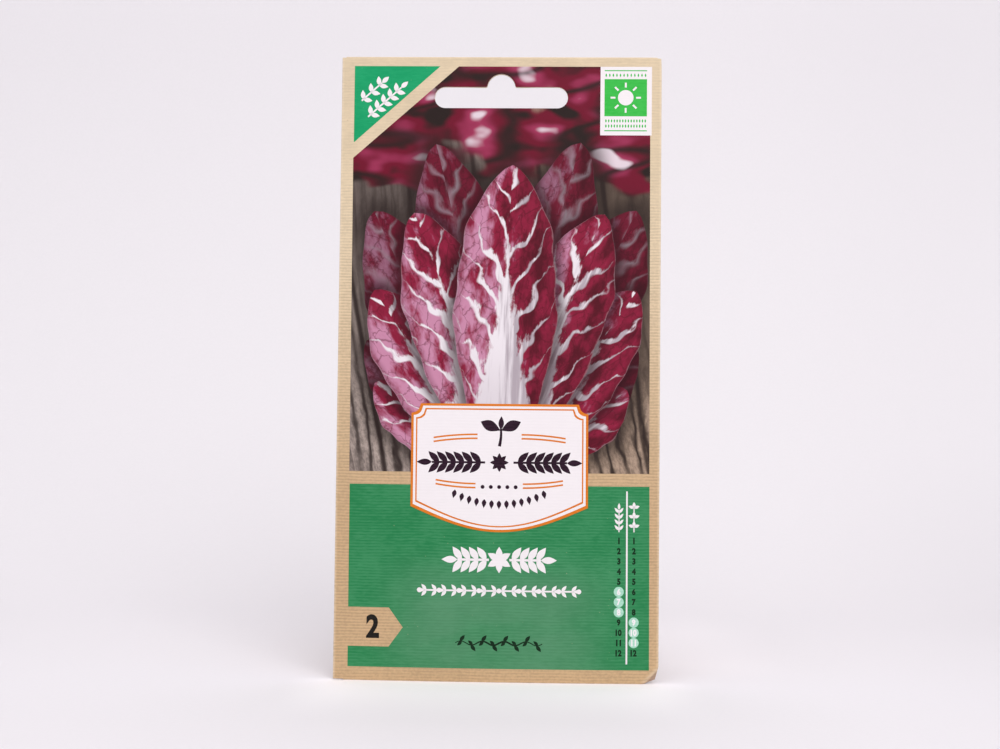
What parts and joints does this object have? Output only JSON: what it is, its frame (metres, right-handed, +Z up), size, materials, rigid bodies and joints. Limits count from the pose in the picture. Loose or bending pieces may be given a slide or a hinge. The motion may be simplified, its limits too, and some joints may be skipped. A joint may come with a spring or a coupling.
{
  "type": "seed packet",
  "caption": "Standing kraft-paper seed packet: a flat glued sachet with a belly of seeds, printed front panels and a hang slot punched through its header.",
  "frame": {"origin": "on the surface the packet stands on, under the middle of its width and depth", "axes": "+Z up the standing packet, +X to the right of its printed front, the front faces -Y"},
  "size_m": [0.0826, 0.0114, 0.16],
  "materials": {
    "kraft_paper": "matte",
    "green_print": "satin",
    "fresh_green_print": "satin",
    "crimson_print": "satin",
    "board_print": "satin",
    "white_print": "satin",
    "mint_print": "satin",
    "orange_print": "satin",
    "dark_print": "satin",
    "dried_glue": "satin",
    "seed_husk": "matte"
  },
  "bodies": {
    "root": {"paper_envelope": "kraft_paper", "back_seam_glue": "dried_glue", "back_seam_top_glue": "dried_glue", "header_glue": "dried_glue", "bottom_flap_glue": "dried_glue", "top_flap_glue": "dried_glue", "seed_heap": "seed_husk"}
  },
  "joints": []
}
